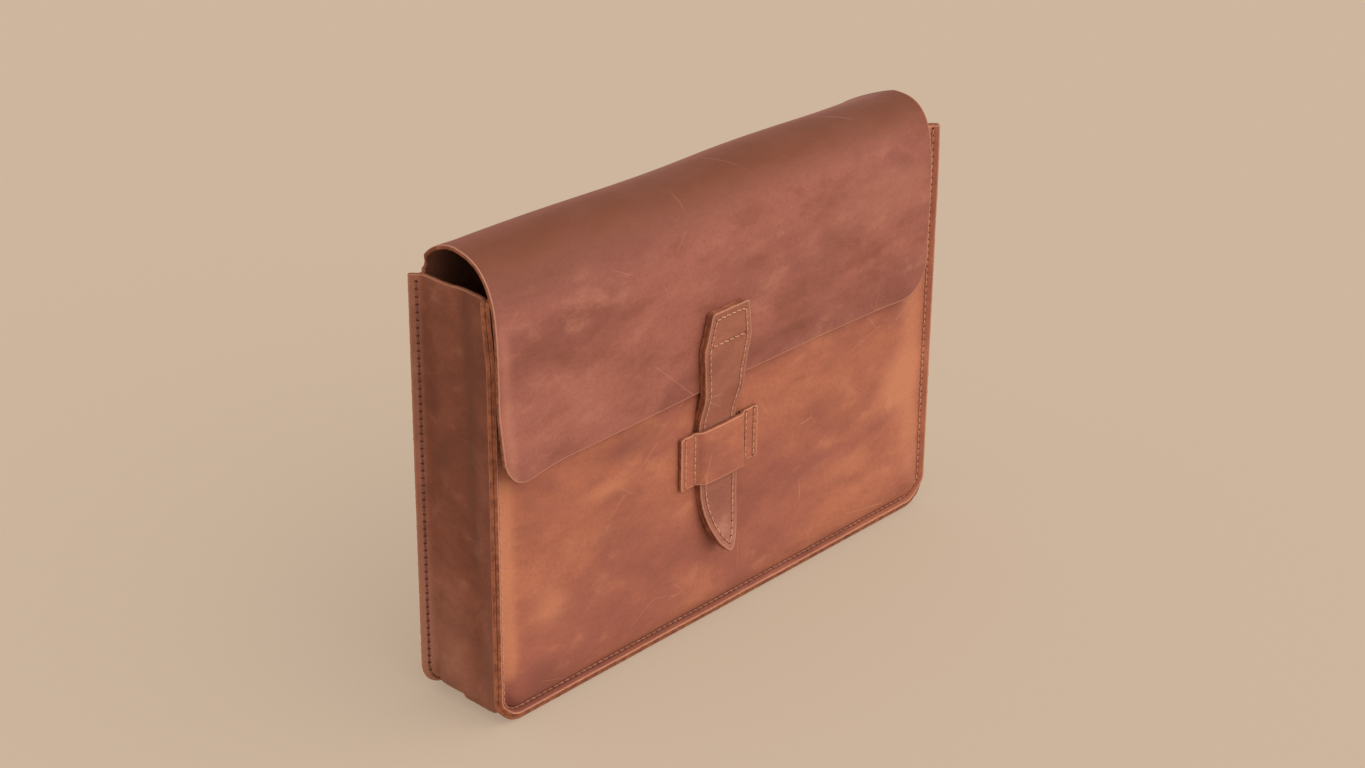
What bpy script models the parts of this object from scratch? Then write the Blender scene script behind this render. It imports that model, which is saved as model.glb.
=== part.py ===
"""A stitched leather laptop sleeve with a gusset, a front flap, and a tab that tucks behind a keeper.

Units are metres, +Z is up and the front faces -Y. The sleeve stands on its seam edges.
The origin is on the ground, in the middle of the box that holds the whole sleeve.
"""

import math

import bmesh
import bpy
from mathutils import Vector

# Driving dimensions
SLEEVE_WIDTH = 0.350  # over the side seams
PANEL_HEIGHT = 0.240  # back panel, ground to the fold of the flap
SLEEVE_DEPTH = 0.062  # outer face to outer face
LEATHER = 0.0022  # thickness of every piece
GAP = 0.0003  # clearance between pieces that touch
CORNER_RADIUS = 0.017  # lower corners of both panels

FRONT_DROP = 0.005  # front panel's top edge below the back panel's
GUSSET_DROP = 0.0035  # gusset's top edge below the back panel's
SEAM_MARGIN = 0.008  # width of the edges turned out for the seams
GUSSET_BEND = 0.004  # bend between a turned edge and the gusset's wall

FLAP_COVER = 0.097  # from the fold's height down to the flap's front edge
FLAP_LEFT_MARGIN = 0.0  # flap's side edges inside the sleeve's, on the front
FLAP_RIGHT_MARGIN = 0.014
ROOT_LEFT_MARGIN = 0.0105  # the same at the fold
ROOT_RIGHT_MARGIN = 0.0175
FLAP_LEFT_RADIUS = 0.017
FLAP_RIGHT_RADIUS = 0.023
CROWN_RISE = 0.0185  # top of the arch above the fold
CROWN_BACK = 0.002  # top of the arch behind the sleeve's middle
CROWN_SQUARENESS = 2.6  # exponent of the arch's front curve; 2 would be an ellipse
FLAP_FULLNESS = 0.0041  # how far the flap's front stands proud of the front panel
FULLNESS_DROP = 0.033  # height of that fullest line, below the fold

TAB_CENTRE = -0.0140  # tab and keeper are sewn left of the middle
TAB_ABOVE_EDGE = 0.048  # tab's top edge, above the flap's edge
TAB_BEND = 0.0255  # height above the flap's edge where the tongue comes free
TAB_TOP_WIDTH = 0.029
TAB_SHOULDER_WIDTH = 0.039
TAB_WAIST_WIDTH = 0.028
TONGUE_WIDTH = 0.0295
TONGUE_POINT = 0.044  # length of the tongue's leaf-shaped end
LEAF_BLUNTNESS = 0.62  # exponent of the leaf's outline; 0.5 would be half an ellipse
SHOULDER_SWEEP = 2.2  # exponent of the tab's sides between shoulders and waist
TONGUE_STANDOFF = 0.008  # how far the tip stands away from the front panel
BLUNT_END = 0.06  # root of the share of the leaf that is cut off, so its tip has some width

KEEPER_CENTRE = -0.0122
KEEPER_WIDTH = 0.0630
KEEPER_HEIGHT = 0.0310
KEEPER_BELOW_EDGE = 0.0225  # keeper's top edge, below the flap's edge
KEEPER_STEP = 0.48  # run of the step out over the tab, in leather thicknesses
KEEPER_OUTER_ROW = 0.0040  # outer stitch row, from each end
KEEPER_INNER_ROW = 0.59  # inner stitch row, from the foot of the step, in leather thicknesses

STITCH_INSET = 0.004  # seam stitches, from the cut edge
THREAD = 0.0006  # thread diameter

SMOOTH_STEPS = 8  # rows in each rounded stretch
CROWN_SPACING = 0.8  # exponent that evens out the rows round the arch's front
COLUMNS = 4  # cells across a flap or a tab

# Worked out from them
HALF_WIDTH = SLEEVE_WIDTH / 2
FRONT_FACE = -SLEEVE_DEPTH / 2  # outer face of the front panel
BACK_FACE = SLEEVE_DEPTH / 2
FOLD_TOP = PANEL_HEIGHT + GAP  # where the flap's own solid begins
FLAP_EDGE = PANEL_HEIGHT - FLAP_COVER
SEAM_LIFT = GAP + THREAD + GAP  # a flap that lies on the front seam's stitches clears them
FLAP_FLAT = FRONT_FACE - SEAM_LIFT - LEATHER / 2  # middle of the flap where it lies flat
KEEPER_TOP = FLAP_EDGE - KEEPER_BELOW_EDGE
KEEPER_FOOT = KEEPER_TOP - KEEPER_HEIGHT
TONGUE_TIP = KEEPER_FOOT - TONGUE_POINT
TAB_TOP = FLAP_EDGE + TAB_ABOVE_EDGE
TONGUE_ROOT = FLAP_EDGE + TAB_BEND
PLY = LEATHER + GAP  # from one layer's middle to the next one's

PARTS = "laptop_sleeve"

LEATHERS = {
    "panel_leather": (0.36, 0.135, 0.075, 1.0),
    "flap_leather": (0.33, 0.130, 0.085, 1.0),
    "gusset_leather": (0.25, 0.100, 0.045, 1.0),
    "tab_leather": (0.34, 0.140, 0.090, 1.0),
    "waxed_thread": (0.42, 0.200, 0.140, 1.0),
}


def clear_scene():
    for thing in list(bpy.data.objects):
        bpy.data.objects.remove(thing, do_unlink=True)


def material(name):
    made = bpy.data.materials.get(name) or bpy.data.materials.new(name)
    made.use_nodes = True
    shader = made.node_tree.nodes["Principled BSDF"]
    shader.inputs["Base Color"].default_value = LEATHERS[name]
    shader.inputs["Roughness"].default_value = 0.6
    shader.inputs["Metallic"].default_value = 0.0
    made.diffuse_color = LEATHERS[name]
    return made


def add_part(name, data, finish, frame):
    part = bpy.data.objects.new(name, data)
    bpy.data.collections[PARTS].objects.link(part)
    data.materials.append(material(finish))
    part.parent = frame
    return part


def sheet(name, rows, finish, frame):
    """A leather sheet: its middle surface, lofted through rows of points, given its thickness."""
    cage = bmesh.new()
    grid = [[cage.verts.new(point) for point in row] for row in rows]
    for row, below in zip(grid, grid[1:]):
        for near in range(len(row) - 1):
            cage.faces.new((row[near], below[near], below[near + 1], row[near + 1]))
    mesh = bpy.data.meshes.new(name)
    cage.to_mesh(mesh)
    cage.free()
    part = add_part(name, mesh, finish, frame)
    skin = part.modifiers.new("thickness", "SOLIDIFY")
    skin.thickness = LEATHER
    skin.offset = 0.0
    skin.use_even_offset = True
    return part


def thread(name, points, frame):
    """One thread of a lockstitch, laid along its seam as a plain round cord."""
    curve = bpy.data.curves.new(name, "CURVE")
    curve.dimensions = "3D"
    spline = curve.splines.new("POLY")
    spline.points.add(len(points) - 1)
    for place, point in zip(spline.points, points):
        place.co = (*point, 1.0)
    curve.bevel_depth = THREAD / 2
    curve.bevel_resolution = 2
    curve.use_fill_caps = True
    return add_part(name, curve, "waxed_thread", frame)


def between(start, end, steps):
    return [start + (end - start) * n / steps for n in range(steps + 1)]


def ease(share):
    """0 to 1 with a level start and end."""
    share = min(max(share, 0.0), 1.0)
    return share * share * (3 - 2 * share)


def corner_inset(height, radius):
    """How far a rounded corner has drawn the side edge in, at this height above the end edge."""
    if height >= radius:
        return 0.0
    return radius - math.sqrt(radius**2 - (radius - height) ** 2)


def corner_heights(radius):
    return [radius * (1 - math.cos(angle)) for angle in between(0.0, math.pi / 2, SMOOTH_STEPS)]


# Panels


def panel(name, middle, top, frame):
    rows = []
    for height in corner_heights(CORNER_RADIUS) + [top]:
        side = HALF_WIDTH - corner_inset(height, CORNER_RADIUS)
        rows.append([Vector((side * share, middle, height)) for share in (-1, -0.5, 0, 0.5, 1)])
    return sheet(name, rows, "panel_leather", frame)


def seam_line(inset, top):
    """Points down one side, along the bottom and up the other, this far inside the panels' edge."""
    reach = HALF_WIDTH - CORNER_RADIUS
    radius = CORNER_RADIUS - inset
    line = [Vector((-HALF_WIDTH + inset, 0, top))]
    for sign in (-1, 1):
        turn = between(0.0, math.pi / 2, SMOOTH_STEPS)
        if sign > 0:
            turn.reverse()
        for angle in turn:
            across = sign * (reach + radius * math.cos(angle))
            line.append(Vector((across, 0, CORNER_RADIUS - radius * math.sin(angle))))
    line.append(Vector((HALF_WIDTH - inset, 0, top)))
    return line


def gusset_section():
    """The strip across: (inset from the panels' edge, depth), front seam edge to back seam edge."""
    edge = SLEEVE_DEPTH / 2 - LEATHER - GAP - LEATHER / 2
    wall = SEAM_MARGIN + LEATHER / 2
    half = [(0.0, -edge)]
    for angle in between(0.0, math.pi / 2, SMOOTH_STEPS // 2):
        inset = wall - GUSSET_BEND * (1 - math.sin(angle))
        half.append((inset, -edge + GUSSET_BEND * (1 - math.cos(angle))))
    return half + [(inset, -depth) for inset, depth in reversed(half)]


def gusset(frame):
    lines = [
        [point + Vector((0, depth, 0)) for point in seam_line(inset, PANEL_HEIGHT - GUSSET_DROP)]
        for inset, depth in gusset_section()
    ]
    return sheet("gusset_strip", list(zip(*lines)), "gusset_leather", frame)


def seam_threads(name, side, frame):
    """Both threads of the front seam (side -1) or the back seam (side 1)."""
    lift = GAP + THREAD / 2
    face = SLEEVE_DEPTH / 2 + lift
    reverse = SLEEVE_DEPTH / 2 - LEATHER - GAP - LEATHER - lift
    top = PANEL_HEIGHT - FRONT_DROP - STITCH_INSET
    for end, depth in (("face", face), ("reverse", reverse)):
        line = [point + Vector((0, side * depth, 0)) for point in seam_line(STITCH_INSET, top)]
        thread(f"{name}_thread_{end}", line, frame)


# Flap


def flap_side(height, behind):
    """Depth of the flap's middle at this height, in front of the crown or behind it."""
    crown = FOLD_TOP + CROWN_RISE
    if behind:
        root = BACK_FACE - LEATHER / 2
        share = (height - FOLD_TOP) / CROWN_RISE
        return CROWN_BACK + (root - CROWN_BACK) * math.sqrt(max(0.0, 1 - share**2))
    full = PANEL_HEIGHT - FULLNESS_DROP
    front = FLAP_FLAT - FLAP_FULLNESS
    if height >= full:
        share = (height - full) / (crown - full)
        reach = max(0.0, 1 - share**CROWN_SQUARENESS) ** (1 / CROWN_SQUARENESS)
        return CROWN_BACK + (front - CROWN_BACK) * reach
    return front + FLAP_FULLNESS * ease((full - height) / (full - FLAP_EDGE))


def flap_profile():
    """Points of the flap's middle as (depth, height), from the fold to the front edge."""
    full = PANEL_HEIGHT - FULLNESS_DROP
    crown = FOLD_TOP + CROWN_RISE
    points = []
    for angle in between(0.0, math.pi / 2, SMOOTH_STEPS):
        height = FOLD_TOP + CROWN_RISE * math.sin(angle)
        points.append((flap_side(height, True), height))
    for angle in between(math.pi / 2, 0.0, 2 * SMOOTH_STEPS)[1:]:
        height = full + (crown - full) * math.sin(angle) ** CROWN_SPACING
        points.append((flap_side(height, False), height))
    radius = max(FLAP_LEFT_RADIUS, FLAP_RIGHT_RADIUS)
    straight = between(full, FLAP_EDGE + radius, 4)[1:]
    corner = [FLAP_EDGE + above for above in reversed(corner_heights(radius))][1:]
    return points + [(flap_side(height, False), height) for height in straight + corner]


def flap(frame):
    profile = flap_profile()
    crown = profile.index(max(profile, key=lambda point: point[1]))
    rows = []
    for number, (depth, height) in enumerate(profile):
        spread = ease(number / (2 * crown))
        left = ROOT_LEFT_MARGIN + (FLAP_LEFT_MARGIN - ROOT_LEFT_MARGIN) * spread
        right = ROOT_RIGHT_MARGIN + (FLAP_RIGHT_MARGIN - ROOT_RIGHT_MARGIN) * spread
        if number > crown:
            left += corner_inset(height - FLAP_EDGE, FLAP_LEFT_RADIUS)
            right += corner_inset(height - FLAP_EDGE, FLAP_RIGHT_RADIUS)
        ends = (-HALF_WIDTH + left, HALF_WIDTH - right)
        rows.append([Vector((across, depth, height)) for across in between(*ends, COLUMNS)])
    return sheet("flap", rows, "flap_leather", frame)


# Tab


def tab_depth(height):
    """Middle of the tab's backing layer: on the flap, then behind the keeper, then standing off.

    Below its root the tongue has stitches on its back, so it lies that much further out.
    """
    on_panel = FLAP_FLAT
    stitches = (SEAM_LIFT - GAP) * ease((TONGUE_ROOT - height) / STITCH_INSET)
    on_flap = flap_side(max(height, FLAP_EDGE), False) - PLY - stitches
    if height < KEEPER_FOOT:
        share = (KEEPER_FOOT - height) / (KEEPER_FOOT - TONGUE_TIP)
        return on_panel - TONGUE_STANDOFF * share**2
    return on_flap + (on_panel - on_flap) * ease((FLAP_EDGE - height) / KEEPER_BELOW_EDGE)


def tab_half_width(height):
    """The tab's outline: a tapered top, shoulders, a waist, and a leaf-shaped tongue."""
    point = TONGUE_TIP + TONGUE_POINT
    if height < point:
        share = (height - TONGUE_TIP) / TONGUE_POINT
        return TONGUE_WIDTH / 2 * (1 - (1 - share) ** 2) ** LEAF_BLUNTNESS
    if height < KEEPER_TOP:
        share = (height - point) / (KEEPER_TOP - point)
        return (TONGUE_WIDTH + (TAB_WAIST_WIDTH - TONGUE_WIDTH) * ease(share)) / 2
    if height < TONGUE_ROOT:
        share = (height - KEEPER_TOP) / (TONGUE_ROOT - KEEPER_TOP)
        widening = (TAB_SHOULDER_WIDTH - TAB_WAIST_WIDTH) * share**SHOULDER_SWEEP
        return (TAB_WAIST_WIDTH + widening) / 2
    share = (height - TONGUE_ROOT) / (TAB_TOP - TONGUE_ROOT)
    return (TAB_SHOULDER_WIDTH + (TAB_TOP_WIDTH - TAB_SHOULDER_WIDTH) * share) / 2


def tongue_heights():
    start, full = TONGUE_TIP, TONGUE_TIP + TONGUE_POINT
    leaf = [start + (full - start) * share**2 for share in between(BLUNT_END, 1.0, SMOOTH_STEPS)]
    in_keeper = between(full, KEEPER_TOP, 3)[1:]
    across_edge = between(KEEPER_TOP, FLAP_EDGE, 6)[1:]
    on_flap = between(FLAP_EDGE, TONGUE_ROOT - GAP, 5)[1:]
    return leaf + in_keeper + across_edge + on_flap


def tab(frame):
    sewn = between(TONGUE_ROOT, TAB_TOP, 6)
    for layer, ply in (("tab_backing", 0), ("tab_face", 1)):
        for end, heights in (("top", sewn), ("tongue", tongue_heights())):
            rows = []
            for height in heights:
                wide = tab_half_width(height)
                depth = tab_depth(height) - ply * PLY
                rows.append(
                    [
                        Vector((TAB_CENTRE + wide * share, depth, height))
                        for share in between(-1.0, 1.0, COLUMNS)
                    ]
                )
            sheet(f"{layer}_{end}", rows, "tab_leather", frame)


def tab_threads(frame):
    """The tab's edge stitching and cross row. Each has a thread in front and one behind."""
    front = -PLY - LEATHER / 2 - GAP - THREAD / 2
    behind_tongue = LEATHER / 2 + GAP + THREAD / 2
    behind_flap = PLY + behind_tongue
    side = between(TONGUE_ROOT + STITCH_INSET, TAB_TOP - STITCH_INSET, 6)
    tip = TONGUE_TIP + STITCH_INSET
    down = [TONGUE_ROOT - STITCH_INSET]
    rows = reversed(tongue_heights())
    down += [height for height in rows if tip + STITCH_INSET < height < down[0]]
    for end, lift in (("face", front), ("reverse", behind_flap)):
        left = [(-1, height) for height in side]
        line = left + [(1, height) for _, height in reversed(left)]
        thread(f"tab_top_thread_{end}", [stitch_point(*step, lift) for step in line], frame)
        cross_height = TONGUE_ROOT + STITCH_INSET / 2
        reach = tab_half_width(cross_height) - STITCH_INSET
        depth = tab_depth(cross_height) + lift
        ends = [Vector((TAB_CENTRE + sign * reach, depth, cross_height)) for sign in (-1, 1)]
        thread(f"tab_cross_thread_{end}", ends, frame)
    for end, lift in (("face", front), ("reverse", behind_tongue)):
        left = [(-1, height) for height in down]
        line = left + [(0, tip)] + [(1, height) for _, height in reversed(left)]
        thread(f"tongue_thread_{end}", [stitch_point(*step, lift) for step in line], frame)


def stitch_point(sign, height, lift):
    reach = max(0.0, tab_half_width(height) - STITCH_INSET)
    return Vector((TAB_CENTRE + sign * reach, tab_depth(height) + lift, height))


# Keeper


def keeper(frame):
    """A band that lies on the front panel at its ends and steps out over the tab between them."""
    low = FRONT_FACE - GAP - LEATHER / 2
    high = FLAP_FLAT - 2 * PLY - SEAM_LIFT + GAP
    shelf = max(tab_half_width(KEEPER_TOP), tab_half_width(KEEPER_FOOT))
    shelf += abs(TAB_CENTRE - KEEPER_CENTRE) + LEATHER / 2 + GAP
    foot = shelf + KEEPER_STEP * LEATHER
    profile = [(-KEEPER_WIDTH / 2, low)]
    for share in between(0.0, 1.0, SMOOTH_STEPS):
        profile.append((-foot + (foot - shelf) * share, low + (high - low) * ease(share)))
    profile += [(-across, depth) for across, depth in reversed(profile)]
    rows = [
        [Vector((KEEPER_CENTRE + across, depth, height)) for across, depth in profile]
        for height in (KEEPER_TOP, KEEPER_FOOT)
    ]
    sheet("keeper_band", rows, "panel_leather", frame)
    front = low - LEATHER / 2 - GAP - THREAD / 2
    inside = FRONT_FACE + LEATHER + GAP + THREAD / 2
    rows_out = {
        "outer": KEEPER_WIDTH / 2 - KEEPER_OUTER_ROW,
        "inner": foot + KEEPER_INNER_ROW * LEATHER,
    }
    for sign, side in ((-1, "left"), (1, "right")):
        for row, out in rows_out.items():
            across = KEEPER_CENTRE + sign * out
            for end, depth in (("face", front), ("reverse", inside)):
                line = [
                    Vector((across, depth, height))
                    for height in (KEEPER_TOP - THREAD, KEEPER_FOOT + THREAD)
                ]
                thread(f"keeper_{side}_{row}_thread_{end}", line, frame)


def centre_depth(frame):
    """Move the frame so that the whole sleeve's box is centred front to back."""
    bpy.context.view_layer.update()
    graph = bpy.context.evaluated_depsgraph_get()
    depths = []
    for part in frame.children:
        solid = part.evaluated_get(graph)
        depths += [(solid.matrix_world @ Vector(corner)).y for corner in solid.bound_box]
    frame.location.y = -(min(depths) + max(depths)) / 2


def main():
    clear_scene()
    parts = bpy.data.collections.new(PARTS)
    bpy.context.scene.collection.children.link(parts)
    frame = bpy.data.objects.new("sleeve_frame", None)
    parts.objects.link(frame)
    panel("back_panel", BACK_FACE - LEATHER / 2, PANEL_HEIGHT, frame)
    panel("front_panel", FRONT_FACE + LEATHER / 2, PANEL_HEIGHT - FRONT_DROP, frame)
    gusset(frame)
    seam_threads("back_seam", 1, frame)
    seam_threads("front_seam", -1, frame)
    flap(frame)
    tab(frame)
    tab_threads(frame)
    keeper(frame)
    centre_depth(frame)


main()
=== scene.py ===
import math

import bpy
import numpy as np
from mathutils import Matrix, Vector
from mathutils.geometry import delaunay_2d_cdt
from mathutils.kdtree import KDTree


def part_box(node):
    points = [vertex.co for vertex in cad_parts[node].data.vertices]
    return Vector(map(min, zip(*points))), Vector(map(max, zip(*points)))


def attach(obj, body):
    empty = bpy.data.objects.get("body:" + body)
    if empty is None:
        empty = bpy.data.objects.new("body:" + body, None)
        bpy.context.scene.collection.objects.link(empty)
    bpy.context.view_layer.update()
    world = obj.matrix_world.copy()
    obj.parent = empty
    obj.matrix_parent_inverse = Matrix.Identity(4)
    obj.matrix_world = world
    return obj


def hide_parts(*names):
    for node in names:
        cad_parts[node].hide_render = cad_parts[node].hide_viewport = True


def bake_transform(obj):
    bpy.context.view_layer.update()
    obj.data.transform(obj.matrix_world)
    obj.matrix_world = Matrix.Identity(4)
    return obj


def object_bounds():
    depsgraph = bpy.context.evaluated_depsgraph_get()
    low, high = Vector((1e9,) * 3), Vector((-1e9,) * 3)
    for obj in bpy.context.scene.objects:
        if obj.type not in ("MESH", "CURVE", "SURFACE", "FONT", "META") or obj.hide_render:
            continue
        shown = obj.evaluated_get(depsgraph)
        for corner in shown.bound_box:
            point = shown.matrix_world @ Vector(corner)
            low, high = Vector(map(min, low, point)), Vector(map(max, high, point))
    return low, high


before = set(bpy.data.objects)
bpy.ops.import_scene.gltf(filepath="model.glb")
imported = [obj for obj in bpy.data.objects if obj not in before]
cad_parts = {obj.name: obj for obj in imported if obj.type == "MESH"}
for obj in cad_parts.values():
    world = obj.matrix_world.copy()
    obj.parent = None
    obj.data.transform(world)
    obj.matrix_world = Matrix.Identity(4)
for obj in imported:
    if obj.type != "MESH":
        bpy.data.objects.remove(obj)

cad_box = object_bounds()

# ---------------------------------------------------------------------------------------
# The back panel and the flap are one piece of waxed pull-up cowhide, 2.2 mm thick. It is
# cut with a notch on each side where the seams end, stands up behind the sleeve, and is
# turned over the top into a soft crown. Sizes are in mm, front to back from mid-depth.
# ---------------------------------------------------------------------------------------

MM = 0.001
LEATHER = 2.2
HALF_WIDTH = 1000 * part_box("back_panel")[1].x + 1.8  # as cut: the splayed seams draw it in
SHELL_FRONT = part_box("front_panel")[0].y
SHELL_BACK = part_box("back_panel")[1].y
MID_DEPTH = 1000 * (SHELL_FRONT + SHELL_BACK) / 2  # the sleeve's own middle in the frame
HALF_DEPTH = 1000 * (SHELL_BACK - SHELL_FRONT) / 2
CORNER = 17.0  # lower corners of both panels
STITCH_INSET = 4.0  # seam stitches from the cut edge
STITCH_PITCH = 4.2

ROOT = 240.0  # where the back starts to turn over
BACK_LEAN = 2.4  # the flap's pull draws the top of the back in
CROWN_HEIGHT = (258.3, 257.4, 257.0)  # middle of the leather: left end, middle, right end
CROWN_DEPTH = (2.0, -2.0, -8.0)  # depth of the arch's highest line
REAR_SQUARENESS = (1.75, 1.4, 1.15)  # 1 would be a straight slope up to the crown's top
FULL_DEPTH = (-34.0, -36.4, -35.5)  # the fullest line of the flap's front
FULL_HEIGHT = 203.0
CROWN_SQUARENESS = (2.7, 3.2, 3.1)  # of its front: 2 would be an ellipse
FLAP_EDGE = 143.0
FLAP_LIES = -33.3  # middle of the leather where the flap lies on the front
NOTCH_LEFT, NOTCH_RIGHT = 14.3, 16.3  # the flap's root inside the panel's sides
FLAP_LEFT, FLAP_RIGHT = -177.0, 161.0
FLAP_LEFT_RADIUS, FLAP_RIGHT_RADIUS = 17.0, 23.0
FLARE_LEFT, FLARE_RIGHT = 5.2, 2.6  # how far the flap's lower corners spring away
BACK_FULLNESS = 1.4

ARRIS = 0.35  # the cut edge's softened corner
HOLE_RADIUS = 0.45  # awl holes
HOLE_DEPTH = 0.8
HOLE_CLEAR = 1.1  # no other point is nearer to a hole


def smooth(share):
    """0 to 1 with a level start and end."""
    share = np.clip(share, 0.0, 1.0)
    return share * share * (3 - 2 * share)


def swell(place, centre, width):
    """A soft rise to 1 at the centre, about this wide each way."""
    return np.exp(-(((place - centre) / width) ** 2))


def ripple(along, across, length, seed):
    """Slow unevenness of hand-worked leather, about -1 to 1: crossing waves about this long."""
    draw = np.random.default_rng(seed)
    total = 0.0
    for _ in range(7):
        heading, phase = draw.uniform(0, 2 * math.pi, 2)
        span = length * draw.uniform(0.6, 1.7)
        way = along * math.cos(heading) + across * math.sin(heading)
        total = total + np.sin(way * 2 * math.pi / span + phase)
    return total / 3.5


def from_edge(x, z):
    """Distance inside the cut edge of a panel, down its sides and round its lower corners."""
    straight = np.minimum(HALF_WIDTH - np.abs(x), z)
    over, under = np.abs(x) - (HALF_WIDTH - CORNER), CORNER - z
    round_corner = CORNER - np.hypot(np.maximum(over, 0), np.maximum(under, 0))
    return np.where((over > 0) & (under > 0), round_corner, straight)


SEAM_FLAT, SEAM_BEND = 4.2, 7.5  # a seam's splayed strip is straight to here, and ends here
SEAM_STRIP = 5.8  # how much of it counts as straight, for how far it stands out
THREAD_DRAW = 0.25  # how far the thread draws the leather in
BACK_SPLAY = 0.76  # angles in radians
SPLAY_UNEVEN = 0.05
FRONT_LIFT, BACK_LIFT = -0.2, 1.0  # of the base seams, as splayed, to stand them on the floor


def splayed(inset, tilt):
    """A seam's strip splayed outwards by this angle: how far it is drawn in, and stands out."""
    rest = np.maximum(SEAM_BEND - inset, 0)
    drawn, out = 0.0, 0.0
    for share in (np.arange(8) + 0.5) / 8:
        angle = tilt * (1 - smooth((inset + rest * share - SEAM_FLAT) / (SEAM_BEND - SEAM_FLAT)))
        drawn = drawn + (1 - np.cos(angle)) * rest / 8
        out = out + np.sin(angle) * rest / 8
    return drawn, out


def sunk_by(tilt):
    """How far a panel lies in behind the cut edge of its splayed seam."""
    return SEAM_STRIP * np.sin(tilt)


def drawn_in(inset):
    """How far the stitches draw the leather in, this far inside the cut edge."""
    return THREAD_DRAW * swell(inset, STITCH_INSET + 0.3, 1.3)


def resting(z, lift):
    """Moves the lowest edges so that a splayed seam just stands on the floor."""
    return z + lift * (1 - smooth(z / 16))


def panel_seam(x, z, tilt, reach, lift):
    """A panel's points moved for its seam: across, up, and how far they stand out."""
    inset = from_edge(x, z)
    drawn, out = splayed(inset, tilt)
    over, under = np.abs(x) - (HALF_WIDTH - CORNER), CORNER - z
    turned = (over > 0) & (under > 0)
    far = np.maximum(np.hypot(over, under), 1e-6)
    side = HALF_WIDTH - np.abs(x) < z
    way_x = -np.sign(x) * np.where(turned, over / far, side * 1.0)
    way_z = np.where(turned, under / far, ~side * 1.0)
    stand = out - sunk_by(tilt) * (1 - smooth((inset - 5) / reach))
    return x + drawn * way_x, resting(z + drawn * way_z, lift), stand - drawn_in(inset)


def back_tilt(x, z):
    """The back's seam is splayed backwards by about 45 degrees, a little unevenly."""
    return BACK_SPLAY + SPLAY_UNEVEN * ripple(x, z, 80.0, 5)


def across_flap(x, ends):
    """A size of the flap at x, from its value at the left end, the middle and the right end."""
    left = smooth(-x / 165)
    right = smooth((x - 20) / 140)
    return ends[0] * left + ends[1] * (1 - left - right) + ends[2] * right


def turned_over(x, stage):
    """Depth and height of the leather's middle: stage 0 to 1 up the back, to 2 up the crown's
    rear, to 3 down its front to the fullest line, and to 4 down the flap."""
    crown, top = across_flap(x, CROWN_DEPTH), across_flap(x, CROWN_HEIGHT)
    full = across_flap(x, FULL_DEPTH)
    back = HALF_DEPTH - LEATHER / 2
    lean = BACK_LEAN * (1 - 0.8 * smooth((np.abs(x) - 155) / 12))
    climb = np.clip(stage, 0, 1) * ROOT
    rear = np.clip(stage - 1, 0, 1) * math.pi / 2
    fore = (1 - np.clip(stage - 2, 0, 1)) * math.pi / 2
    fall = np.clip(stage - 3, 0, 1) * (FULL_HEIGHT - FLAP_EDGE + 10)
    square = 2 / across_flap(x, CROWN_SQUARENESS)
    sloped = 2 / across_flap(x, REAR_SQUARENESS)
    rear_depth = crown + (back - lean - crown) * np.clip(np.cos(rear), 0, 1) ** sloped
    fore_depth = crown + (full - crown) * np.clip(np.cos(fore), 0, 1) ** square
    rest = smooth(fall / (FULL_HEIGHT - FLAP_EDGE))
    depth = np.select(
        [stage < 1, stage < 2, stage < 3],
        [back - lean * smooth((climb - 150) / (ROOT - 150)), rear_depth, fore_depth],
        full + (FLAP_LIES - full) * rest,
    )
    height = np.select(
        [stage < 1, stage < 2, stage < 3],
        [
            climb,
            ROOT + (top - ROOT) * np.sin(rear) ** sloped,
            FULL_HEIGHT + (top - FULL_HEIGHT) * np.sin(fore) ** square,
        ],
        FULL_HEIGHT - fall,
    )
    return depth, height


stages = np.concatenate([np.linspace(n, n + 1, 400, endpoint=n == 3) for n in range(4)])
depths, heights = turned_over(np.zeros_like(stages), stages)
lengths = np.concatenate([[0], np.cumsum(np.hypot(np.diff(depths), np.diff(heights)))])
lengths *= ROOT / np.interp(1.0, stages, lengths)
LENGTH_TO_FULL = np.interp(3.0, stages, lengths)  # along the leather, from the back's foot
LENGTH_TO_EDGE = LENGTH_TO_FULL + FULL_HEIGHT - FLAP_EDGE


def flap_flare(x, z):
    """Where the flap's lower corners spring away from the front, and where the tab holds it in."""
    left = FLARE_LEFT * smooth((190 - z) / 44) * smooth((-x - 126) / 50)
    right = FLARE_RIGHT * smooth((188 - z) / 44) * smooth((x - 112) / 50)
    held = 0.6 * smooth((165 - z) / 22) * swell(x, -14, 26)
    return left + right - held


def back_and_flap_at(x, length):
    """Middle of the leather, this far across and this far along from the back's lower edge."""
    stage = np.interp(length, lengths, stages)
    depth, height = turned_over(x, stage)
    height = height + np.minimum(length, 0)
    front = smooth((stage - 2.0) / 0.6)
    depth = depth - front * (flap_flare(x, height) + 0.5 * ripple(x, height, 95.0, 3))
    inset = from_edge(x, height)
    back = (stage < 1) * (1 - smooth((stage - 0.86) / 0.14) * smooth((inset - 8) / 4))
    across, up, stand = panel_seam(x, height, back_tilt(x, height), 26, BACK_LIFT)
    full_back = BACK_FULLNESS * smooth((inset - STITCH_INSET) / 16)
    full_back = full_back * (1 - smooth((height - 150) / 80))
    depth = depth + back * (stand + full_back)
    height = height + 0.45 * smooth(stage - 1) * ripple(x, height, 150.0, 7)
    return np.stack([x + back * (across - x), depth, height + back * (up - height)], -1)


def surface(place, across, along, side, lift=0.0):
    """Points at this lift from a sheet's middle, and the way out. side says which face is grain."""
    step = 0.05
    here = place(across, along)
    way_across = place(across + step, along) - here
    way_along = place(across, along + step) - here
    out = side * np.cross(way_across, way_along)
    out /= np.linalg.norm(out, axis=-1, keepdims=True)
    return here + out * np.reshape(lift, (-1, 1)), out


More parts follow.
